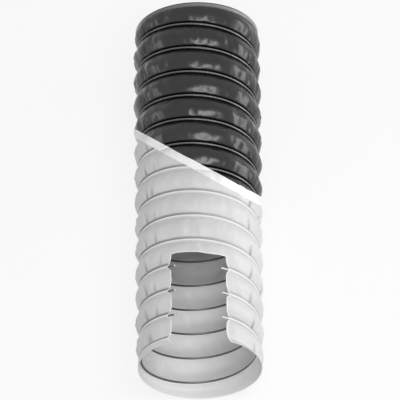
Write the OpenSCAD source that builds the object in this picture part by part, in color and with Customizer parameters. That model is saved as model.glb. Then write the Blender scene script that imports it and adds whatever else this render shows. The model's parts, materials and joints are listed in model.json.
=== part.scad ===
// Flexible ventilation hose: a film wall carried on a spring-steel wire helix.
// The hose lies along Y with its cut-away end at -Y and the cut-away on top.
// Every station along it is given as its distance from the near rim.

/* [Hose] */
// Length from rim to rim
hose_length = 506; // [460:2:900]
// Clear diameter inside the wire helix
bore_d = 150; // [120:1:220]
// Thickness of the film wall
film_t = 0.8; // [0.6:0.1:1.5]
// Height of the film lobes above the wire ridges
lobe_h = 6.1; // [3:0.1:9]
// Depth of the crease on each side of a wire ridge
crease_h = 0.6; // [0.2:0.1:0.8]

/* [Wire helix] */
// Diameter of the spring wire
wire_d = 2; // [1.6:0.1:3]
// Distance from one turn to the next
wire_pitch = 36.3; // [30:0.1:45]
// Where the helix would cross the top of the hose first
wire_start = 3; // [1:0.5:6]
// Radial room between the wire and the film around it
wire_room = 0.1; // [0.05:0.05:0.3]

/* [Plain lips] */
// Length of the plain lip at each end
lip_w = 5; // [4:0.5:10]
// Radial room that a lip has over the clear diameter
lip_rise = 5; // [4:0.5:7]
// Distance that the wire keeps from a lip
wire_end_gap = 0.6; // [0.4:0.1:2]

/* [Joining band] */
// Where the near edge of the band crosses the axis of the hose
band_start = 295; // [260:1:320]
// Width of the band, square to its edges
band_w = 10.2; // [6:0.2:20]
// Slope of the band against a square cut
band_slope = 40.6; // [0:0.2:45]
// Direction of the band's nearest point, turned from the top towards +X
band_turn = 47.7; // [0:0.1:180]

/* [Cut-away window] */
// Length of the window from the near rim, along the top
window_len = 127; // [90:1:150]
// Width of the window between two wires
window_w = 59; // [40:1:70]
// Sideways place of the window's middle
window_x = -1.3; // [-5:0.1:5]
// Depth of the notches where the film is cut along a wire
window_notch = 8; // [4:0.5:10]
// Width of the gap between the cut ends of a wire
wire_gap_w = 55; // [40:1:60]

/* [Hidden] */

// Steps around one turn, the same for the wire and the film
stations = 28;
// Corners of the wire's cross-section
wire_corners = 6;
// Places across one pitch where the film has an edge, 0 and 1 being the wires
film_places = [0, 0.06, 0.22, 0.5, 0.78, 0.94];
rows = len(film_places);
// How full the lobes are: 2 is a parabola
lobe_power = 2.2;
// How sharp the window's notches are
notch_power = 4;
// Steps of the window's outline to one pitch
window_steps = 12;
lip_fn = 96;
// What a cutter runs past the film
overrun = 2;
// Shortest first and last facet of the film beside a lip
end_step = 1.2;
// How far the film's corners stand outside a lip's circles where they meet
end_flare = 0.12;

wire_r = wire_d/2;
helix_r = bore_d/2 + wire_r;
ridge_r = helix_r + wire_r + wire_room + film_t;
lobe_r = ridge_r + lobe_h;
crease_r = ridge_r - crease_h;
lip_r = bore_d/2 + lip_rise;
end_r = lip_r + film_t + end_flare;
axis_z = lobe_r;
far_lip = hose_length - lip_w;
band_reach = lobe_r*tan(band_slope) + overrun;
window_angle = asin(window_w/2/lobe_r);
left_gap = asin((wire_gap_w/2 - window_x)/helix_r);
right_gap = asin((wire_gap_w/2 + window_x)/helix_r);

// Point at radius r, turned by angle from the top, at distance s from the near rim
function hose_point(r, angle, s) = [r*sin(angle), s, r*cos(angle)];

// Distance from the near rim of helix turn t, whole at the top of the hose
function turn_s(t) = wire_start + wire_pitch*t;

// Place between two wires of a point at angle and s, from 0 to 1
function place(angle, s) = let(t = (s - wire_start)/wire_pitch + angle/360) t - floor(t);

// Outside radius of the film at a place between two wires
function film_r(u) = u == 0 ? ridge_r
    : crease_r + (lobe_r - crease_r)*(1 - pow(abs(2*u - 1), lobe_power));

// Row j of the film at station i of the turn
function row_place(j) = film_places[j - rows*floor(j/rows)];
function row_s(i, j) = turn_s(floor(j/rows) + row_place(j) - i/stations);
function row_point(i, j, inset) = hose_point(film_r(row_place(j)) - inset, 360*i/stations, row_s(i, j));

// The film as one closed wall from s = low to s = high, with round rims
module film_wall(low, high) {
    first_row = rows*floor((low - wire_start)/wire_pitch);
    last_row = rows*(ceil((high - wire_start)/wire_pitch) + 1);
    inside = [for (i = [0 : stations - 1])
        [for (j = [first_row : last_row]) if (row_s(i, j) > low + end_step && row_s(i, j) < high - end_step) j]];
    lows = [for (column = inside) column[0]];
    highs = [for (column = inside) column[len(column) - 1]];
    starts = [for (i = 0, at = 0; i < stations; at = at + highs[i] - lows[i] + 3, i = i + 1) at];
    skin_size = starts[stations - 1] + highs[stations - 1] - lows[stations - 1] + 3;

    function skin(inset) = [for (i = [0 : stations - 1]) each [
        hose_point(end_r - inset, 360*i/stations, low),
        each [for (j = inside[i]) row_point(i, j, inset)],
        hose_point(end_r - inset, 360*i/stations, high)]];
    // Rows past the last one of a column fall on its rim
    function index(i, j) = let(k = i % stations, row = i < stations ? j : j - rows)
        starts[k] + max(0, min(row - lows[k] + 1, highs[k] - lows[k] + 2));
    function rim(i, end) = let(k = i % stations) starts[k] + (end > 0 ? highs[k] - lows[k] + 2 : 0);

    halves = [for (i = [0 : stations - 1], j = [first_row - 1 : last_row])
        each [[index(i, j), index(i, j + 1), index(i + 1, j + 1)],
              [index(i, j), index(i + 1, j + 1), index(i + 1, j)]]];
    facets = [for (f = halves) if (f[0] != f[1] && f[1] != f[2] && f[2] != f[0]) f];
    inner = [for (f = facets) [f[2], f[1], f[0]]];
    outer = [for (f = facets) [for (corner = f) corner + skin_size]];
    rims = [for (i = [0 : stations - 1], end = [-1, 1])
        let(a = rim(i, end), b = rim(i + 1, end), c = b + skin_size, d = a + skin_size)
        each (end < 0 ? [[a, b, c], [a, c, d]] : [[a, c, b], [a, d, c]])];
    polyhedron(concat(skin(film_t), skin(0)), concat(inner, outer, rims));
}

// A plain round lip from s = low, the film standing straight out
module lip(low) {
    translate([0, low, 0])
        rotate([-90, 0, 0])
            difference() {
                cylinder(r = lip_r + film_t, h = lip_w, $fn = lip_fn);
                translate([0, 0, -overrun])
                    cylinder(r = lip_r, h = lip_w + 2*overrun, $fn = lip_fn);
            }
}

// All that lies between two planes along the band's slope
module band_slice(from, thickness) {
    translate([0, band_start, 0])
        rotate([0, band_turn, 0])
            rotate([band_slope, 0, 0])
                translate([-hose_length, from, -hose_length])
                    cube([2*hose_length, thickness, 2*hose_length]);
}

// Sideways edge of the window on one side, at s: notched where a wire crosses it
function window_edge(side, s) = let(u = place(side*window_angle, s))
    window_x + side*(window_w/2 + window_notch*pow(1 - 2*min(u, 1 - u), notch_power));

// The window's far edge runs along the helix, midway between two wires
function window_top(side) = window_len - side*wire_pitch*window_angle/360;

module window_cutter() {
    count = ceil(window_len/wire_pitch*window_steps);
    sides = [for (side = [-1, 1])
        [for (k = [0 : count]) let(s = -overrun + (window_top(side) + overrun)*k/count) [window_edge(side, s), s]]];
    translate([0, 0, axis_z])
        linear_extrude(lobe_r + overrun)
            polygon(concat(sides[0], [for (k = [count : -1 : 0]) sides[1][k]]));
}

// Wire from helix turn t0 to helix turn t1, closed at both ends
module wire_run(t0, t1) {
    steps = [t0, each [for (k = [floor(t0*stations) + 1 : ceil(t1*stations) - 1]) k/stations], t1];
    count = len(steps);
    points = [for (t = steps, k = [0 : wire_corners - 1]) let(a = 360*k/wire_corners)
        hose_point(helix_r + wire_r*cos(a), -360*t, turn_s(t) + wire_r*sin(a))];
    sides = [for (n = [0 : count - 2], k = [0 : wire_corners - 1])
        let(a = n*wire_corners + k, b = n*wire_corners + (k + 1) % wire_corners)
        each [[a, b, b + wire_corners], [a, b + wire_corners, a + wire_corners]]];
    ends = [[for (k = [wire_corners - 1 : -1 : 0]) k],
        [for (k = [0 : wire_corners - 1]) (count - 1)*wire_corners + k]];
    polyhedron(points, concat(sides, ends));
}

// Put a piece from its own stations into place on the floor
module placed() {
    translate([0, -hose_length/2, axis_z])
        children();
}

// Far stretch of the wall, in dark film
module dark_sleeve() {
    color("#3a3a3c")
        placed()
            union() {
                intersection() {
                    film_wall(band_start - band_reach, far_lip);
                    band_slice(band_w, 2*hose_length);
                }
                lip(far_lip);
            }
}

// White strip that joins the two films
module joining_band() {
    color("#ffffff")
        placed()
            intersection() {
                film_wall(band_start - band_reach, band_start + band_reach + band_w/cos(band_slope));
                band_slice(0, band_w);
            }
}

// Near stretch of the wall, in light film, with the window cut out of it
module light_sleeve() {
    color("#d9d9da")
        difference() {
            placed()
                union() {
                    difference() {
                        film_wall(lip_w, band_start + band_reach);
                        band_slice(0, 2*hose_length);
                    }
                    lip(0);
                }
            translate([0, -hose_length/2, 0])
                window_cutter();
        }
}

// The helix, cut at each turn that crosses the window
module wire_helix() {
    t_first = (lip_w + wire_end_gap + wire_r - wire_start)/wire_pitch;
    t_last = (far_lip - wire_end_gap - wire_r - wire_start)/wire_pitch;
    cuts = [for (t = [1 : floor(t_last)]) if (turn_s(t) < window_len) t];
    froms = [t_first, each [for (t = cuts) t + left_gap/360]];
    tos = [each [for (t = cuts) t - right_gap/360], t_last];
    color("#8c9094")
        placed()
            for (k = [0 : len(froms) - 1])
                wire_run(froms[k], tos[k]);
}

dark_sleeve();
joining_band();
light_sleeve();
wire_helix();
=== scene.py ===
"""Looks of a cut-away ventilation hose: dark and light film on one spring-wire helix."""
import json
import math
import random

import bpy
import numpy as np
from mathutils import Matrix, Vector, noise


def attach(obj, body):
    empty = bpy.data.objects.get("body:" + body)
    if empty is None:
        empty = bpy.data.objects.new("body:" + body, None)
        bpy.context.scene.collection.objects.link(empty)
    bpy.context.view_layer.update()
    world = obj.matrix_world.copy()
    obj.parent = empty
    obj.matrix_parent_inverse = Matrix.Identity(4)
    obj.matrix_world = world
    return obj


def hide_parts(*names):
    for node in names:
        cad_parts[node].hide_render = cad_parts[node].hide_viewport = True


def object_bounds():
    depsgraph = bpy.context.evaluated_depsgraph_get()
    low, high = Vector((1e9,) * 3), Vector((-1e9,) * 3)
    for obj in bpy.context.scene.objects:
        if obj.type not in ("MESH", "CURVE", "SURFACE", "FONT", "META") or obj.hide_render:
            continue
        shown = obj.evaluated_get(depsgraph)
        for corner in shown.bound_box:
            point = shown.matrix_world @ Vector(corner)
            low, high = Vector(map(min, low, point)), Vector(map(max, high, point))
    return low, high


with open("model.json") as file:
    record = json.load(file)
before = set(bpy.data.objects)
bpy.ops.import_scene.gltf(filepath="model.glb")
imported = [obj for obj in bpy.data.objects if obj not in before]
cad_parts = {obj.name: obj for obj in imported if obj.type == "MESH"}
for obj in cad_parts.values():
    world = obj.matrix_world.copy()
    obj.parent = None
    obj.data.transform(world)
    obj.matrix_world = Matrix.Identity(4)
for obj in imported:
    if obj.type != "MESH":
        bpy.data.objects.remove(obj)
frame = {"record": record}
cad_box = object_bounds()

MM = 0.001
TAU = 2 * math.pi

# The hose in the frame: it lies along Y, the cut-away end at -Y and the cut-away on top
LOW, HIGH = cad_box
LENGTH = HIGH.y - LOW.y
NEAR_RIM = LOW.y
LOBE_R = (HIGH.x - LOW.x) / 2
AXIS_Z = LOW.z + LOBE_R
MOUNTS = {mount["name"]: mount["dims"] for mount in frame["record"]["mounts"]}
LIP_R = MOUNTS["near_lip"]["r_mm"] * MM
LIP_W = MOUNTS["near_lip"]["length_mm"] * MM

# The wire helix, counted in turns that are whole at the top of the hose
WIRE_R = 1.2 * MM
WIRE_PITCH = 36.3 * MM
WIRE_START = 3.0 * MM
HELIX_R = 76.2 * MM
WIRE_END_GAP = 0.6 * MM
WIRE_GAP_W = 59 * MM

# The film wall over the wire
FILM_T = 0.8 * MM
RIDGE_BEND = WIRE_R + 0.1 * MM + FILM_T
CREASE_R = HELIX_R + 0.5 * MM
CREASE_AT = 2.3 * MM
LOBE_POWER = 1.7
GROOVE_DEPTH = 0.9 * MM
GROOVE_AT = 2.7 * MM
GROOVE_W = 0.8 * MM
NEAR_BLEND = 12 * MM
FAR_BLEND = 4 * MM

# The oblique joining band, between two planes square to BAND_NORMAL
BAND_START = 295 * MM
BAND_W = 10.2 * MM
BAND_SLOPE = math.radians(40.6)
BAND_TURN = math.radians(47.7)
BAND_NORMAL = (math.sin(BAND_SLOPE) * math.sin(BAND_TURN), math.cos(BAND_SLOPE),
               math.sin(BAND_SLOPE) * math.cos(BAND_TURN))

# The window that is cut out of the light film
WINDOW_LEN = 127 * MM
WINDOW_W = 73 * MM
WINDOW_X = -0.7 * MM
WINDOW_NOTCH = 5.5 * MM
NOTCH_POWER = 4
HEM_R = 0.7 * MM

# Fineness of the meshes
FILM_STATIONS = 288
FILM_STEPS = [0, 0.8, 1.5, 2.2, 3.0, 4.2, 6.0, 8.5, 12.0]
WIRE_STATIONS = 96
STUB_TIP = 2.4 * MM / (TAU * HELIX_R)
WIRE_CORNERS = 14


def turn_of(angle, s):
    """Helix turn that runs through a point of the wall."""
    return (s - WIRE_START) / WIRE_PITCH + angle / TAU


def from_wire(angle, s):
    """Distance along the hose to the nearest wire."""
    turns = turn_of(angle, s)
    return np.abs(turns - np.round(turns)) * WIRE_PITCH


def smooth(x):
    x = np.clip(x, 0, 1)
    return x * x * (3 - 2 * x)


def from_lips(s):
    """0 on the plain lips, 1 where the lobes are full."""
    return smooth((s - LIP_W) / NEAR_BLEND) * smooth((LENGTH - LIP_W - s) / FAR_BLEND)


def wall_radius(angle, s):
    """Outside of the film before any wrinkle: a ridge over the wire, creases and lobes, and plain lips."""
    away = from_wire(angle, s)
    sink = np.clip((WIRE_PITCH / 2 - away) / (WIRE_PITCH / 2 - CREASE_AT), 0, 1)
    lobe = CREASE_R + (LOBE_R - CREASE_R) * (1 - sink ** LOBE_POWER)
    ridge = HELIX_R + np.sqrt(np.clip(RIDGE_BEND ** 2 - away ** 2, 0, None))
    wall = np.maximum(ridge, lobe) - GROOVE_DEPTH * np.exp(-((away - GROOVE_AT) / GROOVE_W) ** 2)
    lip = LIP_R + FILM_T
    return lip + (wall - lip) * from_lips(s)


def lobe_share(angle, s):
    """0 at a wire and at a lip, 1 along the crest of a lobe."""
    return smooth((from_wire(angle, s) - CREASE_AT) / (WIRE_PITCH / 4)) * from_lips(s)


# Puckers: short gathers of the film that start at a crease
PUCKER_SIDE = math.radians(59)
PUCKER_DEPTH = 2.4 * MM
PUCKER_W = 2.1 * MM
PUCKER_LEN = 20 * MM
PUCKERS_ROUND = 5


def puckers():
    """Where each pucker starts, as turn, angle, length, lean and depth."""
    draw = random.Random(11)
    found = []
    for turn in range(-1, math.ceil(LENGTH / WIRE_PITCH) + 2):
        sides = [-PUCKER_SIDE, PUCKER_SIDE]
        rest = [draw.uniform(math.radians(80), math.radians(280)) for _ in range(PUCKERS_ROUND)]
        rest.append(-PUCKER_SIDE + draw.uniform(math.radians(7), math.radians(16)))
        for number, middle in enumerate(sides + rest):
            angle = middle + draw.uniform(-1, 1) * math.radians(2.5)
            length = PUCKER_LEN * draw.uniform(0.6, 1.1)
            lean = draw.uniform(0.1, 0.7) * (-1 if middle > 0 and number == 1 else 1)
            depth = PUCKER_DEPTH * draw.uniform(0.5, 1.0) * (1 if number < 2 else 0.6)
            found.append((turn, angle, length, lean, depth))
    return found


def pucker_depth(angle, s):
    """How far the puckers pull the film in at each point."""
    depth = np.zeros_like(angle)
    for turn, middle, length, lean, deep in puckers():
        along = s - (WIRE_START + WIRE_PITCH * (turn - middle / TAU)) - CREASE_AT
        round_it = (angle - middle + math.pi) % TAU - math.pi
        aside = round_it * LOBE_R - lean * along
        fade = smooth(along / (0.15 * length)) * smooth(1 - along / length)
        depth = np.maximum(depth, deep * fade * np.exp(-(aside / PUCKER_W) ** 2))
    return depth


# Soft waves of the film between the wires
WAVE_DEPTH = 2.0 * MM
WAVE_ROUND = 5.0
WAVE_ALONG = 2.2


def soft_waves(angle, s):
    """Uneven swelling of the film, in metres, by smooth noise on the wall."""
    turns = turn_of(angle, s)
    waves = [noise.fractal(Vector((WAVE_ROUND * math.sin(a), WAVE_ROUND * math.cos(a), WAVE_ALONG * t)),
                           0.6, 2.0, 2) for a, t in zip(angle, turns)]
    return WAVE_DEPTH * np.array(waves)


def film_points(angle, s):
    """Points of the film's outside, in the frame, for arrays of angles from the top and stations."""
    radius = wall_radius(angle, s)
    radius = radius + lobe_share(angle, s) * np.minimum(soft_waves(angle, s) - 0.3 * WAVE_DEPTH, 0)
    radius = radius - pucker_depth(angle, s)
    return np.stack([radius * np.sin(angle), NEAR_RIM + s, AXIS_Z + radius * np.cos(angle)], axis=1)


def film_grid():
    """The whole wall as (angle, station) points and four-sided faces, its rows along the helix."""
    steps = [step * MM for step in FILM_STEPS]
    places = steps + [WIRE_PITCH / 2] + [WIRE_PITCH - step for step in reversed(steps[1:])]
    rows = len(places)
    first, last = -rows, rows * (math.ceil(LENGTH / WIRE_PITCH) + 1)
    count = last - first + 1
    points = [(TAU * i / FILM_STATIONS,
               WIRE_START + WIRE_PITCH * (j // rows - i / FILM_STATIONS) + places[j % rows])
              for i in range(FILM_STATIONS) for j in range(first, last + 1)]

    def corner(i, j):
        if i == FILM_STATIONS:
            i, j = 0, j - rows
        return i * count + j - first

    faces = [(corner(i, j), corner(i + 1, j), corner(i + 1, j + 1), corner(i, j + 1))
             for i in range(FILM_STATIONS) for j in range(first + rows, last)]
    return np.array(points), faces


def meeting_point(a, b, keep):
    """Where the cut crosses the edge from a, which is kept, to b, which isn't."""
    b = np.array([b[0] + TAU * round((a[0] - b[0]) / TAU), b[1]])
    inside, outside = 0.0, 1.0
    for _ in range(16):
        middle = (inside + outside) / 2
        point = a + (b - a) * middle
        if keep(point[:1], point[1:])[0] >= 0:
            inside = middle
        else:
            outside = middle
    return a + (b - a) * inside


def cut_sheet(points, faces, keep):
    """The part of a sheet where keep(angle, s) is not negative, its faces cut along the edge."""
    value = keep(points[:, 0], points[:, 1])
    kept, added, crossings = [], [], {}
    for face in faces:
        inside = [value[corner] >= 0 for corner in face]
        if all(inside):
            kept.append(face)
        elif any(inside):
            corners = []
            for a, b in zip(face, face[1:] + face[:1]):
                if value[a] >= 0:
                    corners.append(a)
                if (value[a] >= 0) != (value[b] >= 0):
                    edge = (a, b) if value[a] >= 0 else (b, a)
                    if edge not in crossings:
                        crossings[edge] = len(points) + len(added)
                        added.append(meeting_point(points[edge[0]], points[edge[1]], keep))
                    corners.append(crossings[edge])
            kept.append(tuple(corners))
    return (np.vstack([points, added]) if added else points), kept


def past_near_rim(angle, s):
    return s


def before_far_rim(angle, s):
    return LENGTH - s


def along_band(angle, s):
    """Distance past the near edge of the band, square to the band."""
    radius = wall_radius(angle, s)
    place = (radius * np.sin(angle), s - BAND_START, radius * np.cos(angle))
    return sum(part * way for part, way in zip(place, BAND_NORMAL))


def window_half(side, s):
    """Half the width of the window at a station, notched where a wire crosses its side."""
    angle = side * math.asin(WINDOW_W / 2 / LOBE_R)
    turns = turn_of(angle, s)
    away = np.abs(turns - np.round(turns))
    return WINDOW_W / 2 + WINDOW_NOTCH * (1 - 2 * away) ** NOTCH_POWER


def window_top(angle):
    """Station of the window's far edge, which runs along the helix."""
    return WINDOW_LEN - WIRE_PITCH * angle / TAU


def outside_window(angle, s):
    """Distance outside the window, negative in it."""
    across = wall_radius(angle, s) * np.sin(angle) - WINDOW_X
    half = np.where(across > 0, window_half(1, s), window_half(-1, s))
    turned = (angle + math.pi) % TAU - math.pi
    out = np.maximum(np.abs(across) - half, s - window_top(turned))
    return np.where(np.cos(angle) > 0, out, LENGTH)


def sheet_mesh(name, points, faces, finishes):
    """A film sheet given its thickness, with one finish for the outside, the inside and the cut edges."""
    used = sorted({corner for face in faces for corner in face})
    number = {old: new for new, old in enumerate(used)}
    angle, s = points[used, 0], points[used, 1]
    mesh = bpy.data.meshes.new(name)
    mesh.from_pydata(film_points(angle, s).tolist(), [], [[number[c] for c in face] for face in faces])
    mesh.validate()
    pulled = mesh.attributes.new("pucker", "FLOAT", "POINT")
    pulled.data.foreach_set("value", pucker_depth(angle, s) / PUCKER_DEPTH)
    for finish in finishes:
        mesh.materials.append(finish)
    sheet = bpy.data.objects.new(name, mesh)
    bpy.context.collection.objects.link(sheet)
    weld = sheet.modifiers.new("weld", "WELD")
    weld.merge_threshold = 0.05 * MM
    wall = sheet.modifiers.new("wall", "SOLIDIFY")
    wall.thickness = FILM_T
    wall.offset = -1
    wall.material_offset = 1
    wall.material_offset_rim = 2
    applied(sheet)
    sheet.data.polygons.foreach_set("use_smooth", [True] * len(sheet.data.polygons))
    sheet.data.set_sharp_from_angle(angle=math.radians(50))
    return sheet


def window_outline():
    """The outline of the window from rim to rim, as arrays of angles and stations."""
    def side_angle(side, s):
        angle = side * math.asin(WINDOW_W / 2 / LOBE_R)
        for _ in range(6):
            across = WINDOW_X + side * window_half(side, s)
            angle = math.asin(across / float(wall_radius(np.array([angle]), np.array([s]))[0]))
        return angle

    corners = [side_angle(side, window_top(side * math.asin(WINDOW_W / 2 / LOBE_R))) for side in (-1, 1)]
    tops = [float(window_top(angle)) for angle in corners]
    left = [(side_angle(-1, s), s) for s in np.arange(0.5 * MM, tops[0], MM)]
    top = [(angle, float(window_top(angle))) for angle in np.linspace(*corners, 60)]
    right = [(side_angle(1, s), s) for s in np.arange(0.5 * MM, tops[1], MM)]
    return np.array(left + top + right[::-1]).T


def window_hem(finish):
    """The turned edge of the cut film, pale as a painted highlight along the cut."""
    angle, s = window_outline()
    outs = np.stack([np.sin(angle), np.zeros_like(angle), np.cos(angle)], axis=1)
    return tube_mesh("window_hem", film_points(angle, s) - outs * FILM_T / 2, outs, HEM_R, 8, finish)


def applied(obj):
    """Turn the object's modifiers into its mesh."""
    bpy.context.view_layer.update()
    shaped = bpy.data.meshes.new_from_object(obj.evaluated_get(bpy.context.evaluated_depsgraph_get()))
    obj.modifiers.clear()
    obj.data = shaped
    return obj


def tube_mesh(name, centres, outs, radius, corners, finish, end_finish=None, bright=(0, 0)):
    """A round bar along its centre points, closed at both ends. outs point sideways at each centre.

    bright says how many rings at each end have the end finish."""
    centres, outs = np.array(centres), np.array(outs)
    ahead = np.gradient(centres, axis=0)
    ahead /= np.linalg.norm(ahead, axis=1)[:, None]
    outs -= ahead * (outs * ahead).sum(axis=1)[:, None]
    outs /= np.linalg.norm(outs, axis=1)[:, None]
    asides = np.cross(ahead, outs)
    turns = TAU * np.arange(corners) / corners
    rings = (centres[:, None] + radius * (np.cos(turns)[None, :, None] * outs[:, None]
                                          + np.sin(turns)[None, :, None] * asides[:, None]))
    count = len(centres)
    faces = [(n * corners + k, n * corners + (k + 1) % corners,
              (n + 1) * corners + (k + 1) % corners, (n + 1) * corners + k)
             for n in range(count - 1) for k in range(corners)]
    ends = [tuple(range(corners - 1, -1, -1)), tuple((count - 1) * corners + k for k in range(corners))]
    mesh = bpy.data.meshes.new(name)
    mesh.from_pydata(rings.reshape(-1, 3).tolist(), [], faces + ends)
    mesh.materials.append(finish)
    if end_finish:
        mesh.materials.append(end_finish)
        for face in mesh.polygons:
            ring = min(face.vertices) // corners
            if ring < bright[0] or ring >= count - 1 - bright[1]:
                face.material_index = 1
    mesh.polygons.foreach_set("use_smooth", [True] * len(mesh.polygons))
    mesh.set_sharp_from_angle(angle=math.radians(50))
    tube = bpy.data.objects.new(name, mesh)
    bpy.context.collection.objects.link(tube)
    return tube


def joined(name, objects):
    """Several meshes as one piece."""
    with bpy.context.temp_override(active_object=objects[0], selected_editable_objects=objects):
        bpy.ops.object.join()
    objects[0].name = name
    objects[0].data.name = name
    return objects[0]


class Value:
    """A socket of a finish that takes part in Python sums."""

    def __init__(self, finish, socket):
        self.finish = finish
        self.socket = socket

    def out(self, name):
        """Another socket of the same node."""
        return Value(self.finish, self.socket.node.outputs[name])

    def _sum(self, operation, *parts):
        return self.finish.node("ShaderNodeMath", {"operation": operation}, *parts)

    def __add__(self, other):
        return self._sum("ADD", self, other)

    def __radd__(self, other):
        return self._sum("ADD", other, self)

    def __sub__(self, other):
        return self._sum("SUBTRACT", self, other)

    def __rsub__(self, other):
        return self._sum("SUBTRACT", other, self)

    def __mul__(self, other):
        return self._sum("MULTIPLY", self, other)

    def __rmul__(self, other):
        return self._sum("MULTIPLY", other, self)

    def __truediv__(self, other):
        return self._sum("DIVIDE", self, other)

    def __abs__(self):
        return self._sum("ABSOLUTE", self)

    def angle_with(self, other):
        return self._sum("ARCTAN2", self, other)

    def part_of_turn(self):
        return self._sum("FRACT", self)

    def stops(self, *stops):
        """The value read off a ramp of (place, level) stops."""
        return self.finish.node("ShaderNodeValToRGB", {"stops": stops}, self)


class Finish:
    """The nodes of a material or of the world under construction."""

    def __init__(self, owner):
        self.owner = owner
        owner.use_nodes = True
        self.tree = owner.node_tree

    def node(self, kind, settings=None, *inputs, out=0, **named):
        """A node of any kind: settings first, then its sockets in order or by name, with _ for a space."""
        made = self.tree.nodes.new(kind)
        for name, setting in (settings or {}).items():
            if name == "stops":
                while len(made.color_ramp.elements) < len(setting):
                    made.color_ramp.elements.new(0.5)
                for element, (place, level) in zip(made.color_ramp.elements, setting):
                    element.position = place
                    element.color = (level, level, level, 1)
            else:
                setattr(made, name, setting)
        for place, value in [*enumerate(inputs), *named.items()]:
            self.feed(made.inputs[place.replace("_", " ") if isinstance(place, str) else place], value)
        return Value(self, made.outputs[out])

    def feed(self, socket, value):
        if isinstance(value, Value):
            self.tree.links.new(value.socket, socket)
        elif value is not None:
            socket.default_value = value

    def set(self, shader="Principled BSDF", **sockets):
        """Feed a shader that is already there."""
        for name, value in sockets.items():
            self.feed(self.tree.nodes[shader].inputs[name.replace("_", " ")], value)
        return self.owner

    def place(self):
        """Where a point of the piece is, in metres in the frame."""
        return self.node("ShaderNodeTexCoord", out="Object")

    def noise(self, scale, detail=3.0, stretch=(1, 1, 1)):
        at = self.node("ShaderNodeMapping", None, self.place(), Scale=stretch)
        return self.node("ShaderNodeTexNoise", None, Vector=at, Scale=scale, Detail=detail)

    def grey(self, low, high, mask):
        """A colour between two greys, or between a colour and a grey."""
        low, high = (level if isinstance(level, Value) else (level, level, level, 1) for level in (low, high))
        return self.node("ShaderNodeMix", {"data_type": "RGBA"}, mask, None, None, None, None, None,
                         low, high, out=2)

    def bump(self, height, depth, strength=1.0):
        return self.node("ShaderNodeBump", None, Strength=strength, Distance=depth, Height=height)

    def pucker(self):
        """How deep in a pucker a point lies, 0 to 1."""
        return self.node("ShaderNodeAttribute", {"attribute_name": "pucker"}, out="Fac")

    def folds(self, scale, sharpness):
        """0 along the lines of small folds, 1 between them."""
        return abs(self.noise(scale, 2, (1, 0.5, 1)) - 0.5).stops((0, 0), (sharpness, 1))

    def past_wire(self):
        """Part of a pitch past the last wire, 0 to 1 towards the far end."""
        x = self.node("ShaderNodeSeparateXYZ", None, self.place())
        angle = x.angle_with(x.out("Z") - AXIS_Z)
        return ((x.out("Y") - (NEAR_RIM + WIRE_START)) / WIRE_PITCH + angle / TAU).part_of_turn()

    def along_hose(self):
        """0 at the near rim, 1 at the far one."""
        y = self.node("ShaderNodeSeparateXYZ", None, self.place(), out="Y")
        return (y - NEAR_RIM) / LENGTH

    def leftness(self):
        """0 on the right side of the hose, 1 on the left one."""
        return 0.5 - self.node("ShaderNodeSeparateXYZ", None, self.place()) / (2 * LOBE_R)


def new_finish(name):
    return Finish(bpy.data.materials.new(name))


def dark_film():
    """Dark grey film, glossy, with painted shade that makes it blackest in the groove behind each wire, in the
    puckers and on the far flank of each lobe, and a painted highlight over each wire and along the far rim,
    lighter on the right.
    """
    finish = new_finish("dark glossy film")
    past = finish.past_wire()
    # Painted shade: the groove behind each wire is blackened.
    groove = past.stops((0.035, 0), (0.055, 1), (0.1, 1), (0.14, 0))
    # Painted shade on the far flank of each lobe, given as metallic on the black base, which takes the white
    # reflection off it.
    painted_far_flank_shade = past.stops((0.55, 0), (0.8, 0.5), (0.95, 0.75), (0.97, 0))
    # Painted highlight: a light stripe over each wire.
    painted_wire_highlight = past.stops((0.0, 1), (0.03, 0), (0.965, 0), (1.0, 1))
    # Painted highlight: a light stripe along the far rim.
    rim = finish.along_hose().stops((0.985, 0), (0.991, 1), (0.996, 1), (0.999, 0))
    black = finish.grey(0.003, 0.012, finish.noise(26, 4))
    # The painted highlights are lighter on the right and fainter on the left, where less light falls.
    film = finish.grey(black, 0.34, (painted_wire_highlight + rim) * (1 - 0.75 * finish.leftness()))
    # Painted shade in the groove and in the puckers, put into the colour.
    shade = groove + finish.pucker()
    return finish.set(
        Base_Color=finish.grey(film, 0.001, shade),
        # Metallic on the black base is painted shade: it darkens the groove, the puckers and the far flanks.
        Metallic=shade + painted_far_flank_shade,
        Roughness=0.22 + 0.1 * finish.noise(60, 2),
        Normal=finish.bump(finish.folds(22, 0.16) + 0.2 * finish.noise(150, 3), 0.5 * MM, 0.5))


def light_film():
    """White film, with painted shade as a grey stripe in the crease beside each wire, darkest on the left, a
    painted highlight over each wire, and painted shade in the puckers.
    """
    finish = new_finish("light film")
    past = finish.past_wire()
    # Painted shade: a grey stripe in the crease beside each wire.
    painted_crease_shade = past.stops((0.028, 0), (0.05, 1), (0.095, 0.8), (0.14, 0))
    # Painted highlight: a white stripe over each wire.
    painted_bead_highlight = past.stops((0.0, 1), (0.03, 0), (0.96, 0), (1.0, 1))
    film = finish.grey(0.58, 0.72, finish.noise(18, 3))
    film = finish.grey(film, 0.9, painted_bead_highlight)
    # The painted crease shade is darkest on the left, away from the light.
    film = finish.grey(film, 0.1, painted_crease_shade * (0.2 + 0.8 * finish.leftness()))
    return finish.set(
        # Painted shade in the puckers.
        Base_Color=finish.grey(film, 0.12, finish.pucker()),
        Roughness=0.42,
        Specular_IOR_Level=0.3,
        Normal=finish.bump(finish.folds(22, 0.16) + 0.2 * finish.noise(150, 3), 0.8 * MM, 0.7))


def film_inside():
    finish = new_finish("metallic inside of the film")
    return finish.set(
        Base_Color=finish.grey(0.8, 0.88, finish.noise(30, 3)),
        Metallic=0.1,
        Roughness=0.6)


def plain(name, level, roughness, metallic=0.0):
    finish = new_finish(name)
    return finish.set(
        Base_Color=finish.grey(level * 0.94, level, finish.noise(400, 2)),
        Roughness=roughness,
        Metallic=metallic)


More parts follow.
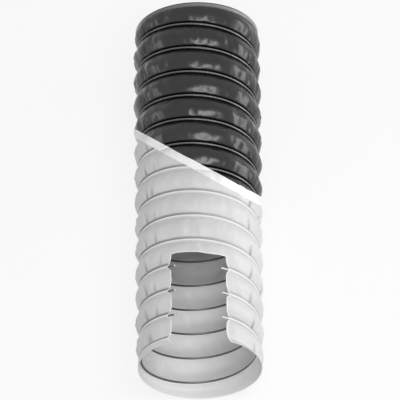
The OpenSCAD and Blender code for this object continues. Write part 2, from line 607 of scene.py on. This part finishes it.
def ride_hose(piece, node):
    """Give a piece its place on the hose, for a CAD node that it stands for."""
    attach(piece, "root")
    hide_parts(node)


def make_film():
    """The three stretches of the wall, cut from one grid."""
    inside = film_inside()
    # The cut edges and the hem are pale as a painted highlight along the cut.
    edge = plain("cut edge of the film, painted highlight", 0.9, 0.5)
    white = plain("white band", 0.92, 0.55)
    grid = film_grid()
    grid = cut_sheet(*grid, past_near_rim)
    grid = cut_sheet(*grid, before_far_rim)
    near = cut_sheet(*grid, lambda angle, s: -along_band(angle, s))
    beyond = cut_sheet(*grid, along_band)
    band = cut_sheet(*beyond, lambda angle, s: BAND_W - along_band(angle, s))
    far = cut_sheet(*beyond, lambda angle, s: along_band(angle, s) - BAND_W)
    near = cut_sheet(*near, outside_window)
    sleeve = joined("light_sleeve_film", [
        sheet_mesh("light_sleeve_film", *near, [light_film(), inside, edge]), window_hem(edge)])
    ride_hose(sleeve, "light_sleeve")
    ride_hose(sheet_mesh("joining_band_strip", *band, [white, inside, white]), "joining_band")
    ride_hose(sheet_mesh("dark_sleeve_film", *far, [dark_film(), inside, edge]), "dark_sleeve")


def wire_runs():
    """First and last turn of each run of wire, cut where it crosses the window."""
    first = (LIP_W + WIRE_END_GAP + WIRE_R - WIRE_START) / WIRE_PITCH
    last = (LENGTH - LIP_W - WIRE_END_GAP - WIRE_R - WIRE_START) / WIRE_PITCH
    left = math.asin((WIRE_GAP_W / 2 - WINDOW_X) / HELIX_R) / TAU
    right = math.asin((WIRE_GAP_W / 2 + WINDOW_X) / HELIX_R) / TAU
    cuts = [turn for turn in range(1, math.ceil(last)) if WIRE_START + WIRE_PITCH * turn < WINDOW_LEN]
    return list(zip([first] + [turn + left for turn in cuts], [turn - right for turn in cuts] + [last]))


def make_wire():
    steel = plain("spring steel", 0.16, 0.3, 1.0)
    # The bright steel is the cut face at the tips and a painted highlight along the right-hand stubs.
    bright = plain("cut tips and painted highlight of steel", 0.8, 0.25, 1.0)
    runs, ends = [], wire_runs()
    for number, (first, last) in enumerate(ends):
        turns = np.linspace(first, last, math.ceil((last - first) * WIRE_STATIONS) + 1)
        turns = np.insert(turns, [1, len(turns) - 1], [first + STUB_TIP, last - STUB_TIP])
        angle = -TAU * turns
        outs = np.stack([np.sin(angle), np.zeros_like(angle), np.cos(angle)], axis=1)
        centres = HELIX_R * outs
        centres[:, 1] = NEAR_RIM + WIRE_START + WIRE_PITCH * turns
        centres[:, 2] += AXIS_Z
        # One bright ring at each left-hand tip, and four along each right-hand stub as painted highlight.
        stubs = (1 if number else 0, 4 if number < len(ends) - 1 else 0)
        runs.append(tube_mesh(f"wire_run_{number}", centres, outs, WIRE_R, WIRE_CORNERS, steel, bright, stubs))
    ride_hose(joined("wire_helix_runs", runs), "wire_helix")


# The photograph's view, from above the cut-away end
FRAME_PX = 400
PX_PER_MM = 0.7636
ELEVATION = math.radians(60)
LEAN = math.radians(0.6)
LENS = 970
SENSOR = 36
AIM = Vector((2.1 * MM, -0.8 * MM, AXIS_Z))


def make_camera():
    data = bpy.data.cameras.new("camera")
    data.lens = LENS
    data.sensor_width = SENSOR
    distance = FRAME_PX / PX_PER_MM * MM * LENS / SENSOR
    data.clip_end = 2 * distance
    camera = bpy.data.objects.new("camera", data)
    back = Vector((0, -math.cos(ELEVATION), math.sin(ELEVATION)))
    camera.location = AIM + distance * back
    camera.rotation_euler = (math.pi / 2 - ELEVATION, 0, 0)
    camera.rotation_euler.rotate_axis("Z", -LEAN)
    bpy.context.scene.collection.objects.link(camera)
    bpy.context.scene.camera = camera


def make_softbox(name, way, away, size, radiance, aim=(0, 0, 0.1)):
    """A soft panel of light in a direction from the hose, with the same radiance all over."""
    data = bpy.data.lights.new(name, "AREA")
    data.shape = "RECTANGLE"
    data.size, data.size_y = size
    data.energy = radiance * math.pi * size[0] * size[1]
    light = bpy.data.objects.new(name, data)
    light.location = Vector(aim) + away * Vector(way).normalized()
    light.rotation_euler = (-Vector(way)).to_track_quat("-Z", "Y").to_euler()
    light.visible_camera = False
    bpy.context.scene.collection.objects.link(light)


def seen_directly(finish):
    """1 for what the camera sees, also by reflection or through glass."""
    path = finish.node("ShaderNodeLightPath", out="Is Camera Ray")
    return path + path.out("Is Glossy Ray") + path.out("Is Transmission Ray")


def make_stage():
    """A pale floor and a pale room, both white to the camera and to reflections."""
    mesh = bpy.data.meshes.new("floor")
    reach = 30
    mesh.from_pydata([(-reach, -reach, 0), (reach, -reach, 0), (reach, reach, 0), (-reach, reach, 0)],
                     [], [(0, 1, 2, 3)])
    floor = bpy.data.objects.new("floor", mesh)
    bpy.context.scene.collection.objects.link(floor)
    finish = new_finish("floor")
    glow = finish.node("ShaderNodeEmission", None, Color=(1, 1, 1, 1), Strength=1.0)
    matt = finish.node("ShaderNodeBsdfDiffuse", None, Color=(0.9, 0.9, 0.9, 1))
    both = finish.node("ShaderNodeMixShader", None, FLOOR_GLOW * seen_directly(finish), matt, glow)
    finish.set("Material Output", Surface=both)
    mesh.materials.append(finish.owner)

    world = bpy.data.worlds.new("room")
    bpy.context.scene.world = world
    room = Finish(world)
    room.set("Background", Color=(1, 1, 1, 1), Strength=ROOM_LIGHT + (1 - ROOM_LIGHT) * seen_directly(room))


ROOM_LIGHT = 0.3
FLOOR_GLOW = 0.85

make_film()
make_wire()
make_camera()
make_softbox("key", (0.16, -0.34, 0.92), 1.25, (0.95, 0.42), 7.5)
make_softbox("right", (1, 0.1, 0.14), 1.3, (1.2, 0.5), 4.5)
make_softbox("left", (-1, 0, 0.2), 1.3, (1.0, 0.25), 3)
make_stage()
bpy.context.scene.view_settings.view_transform = "Standard"
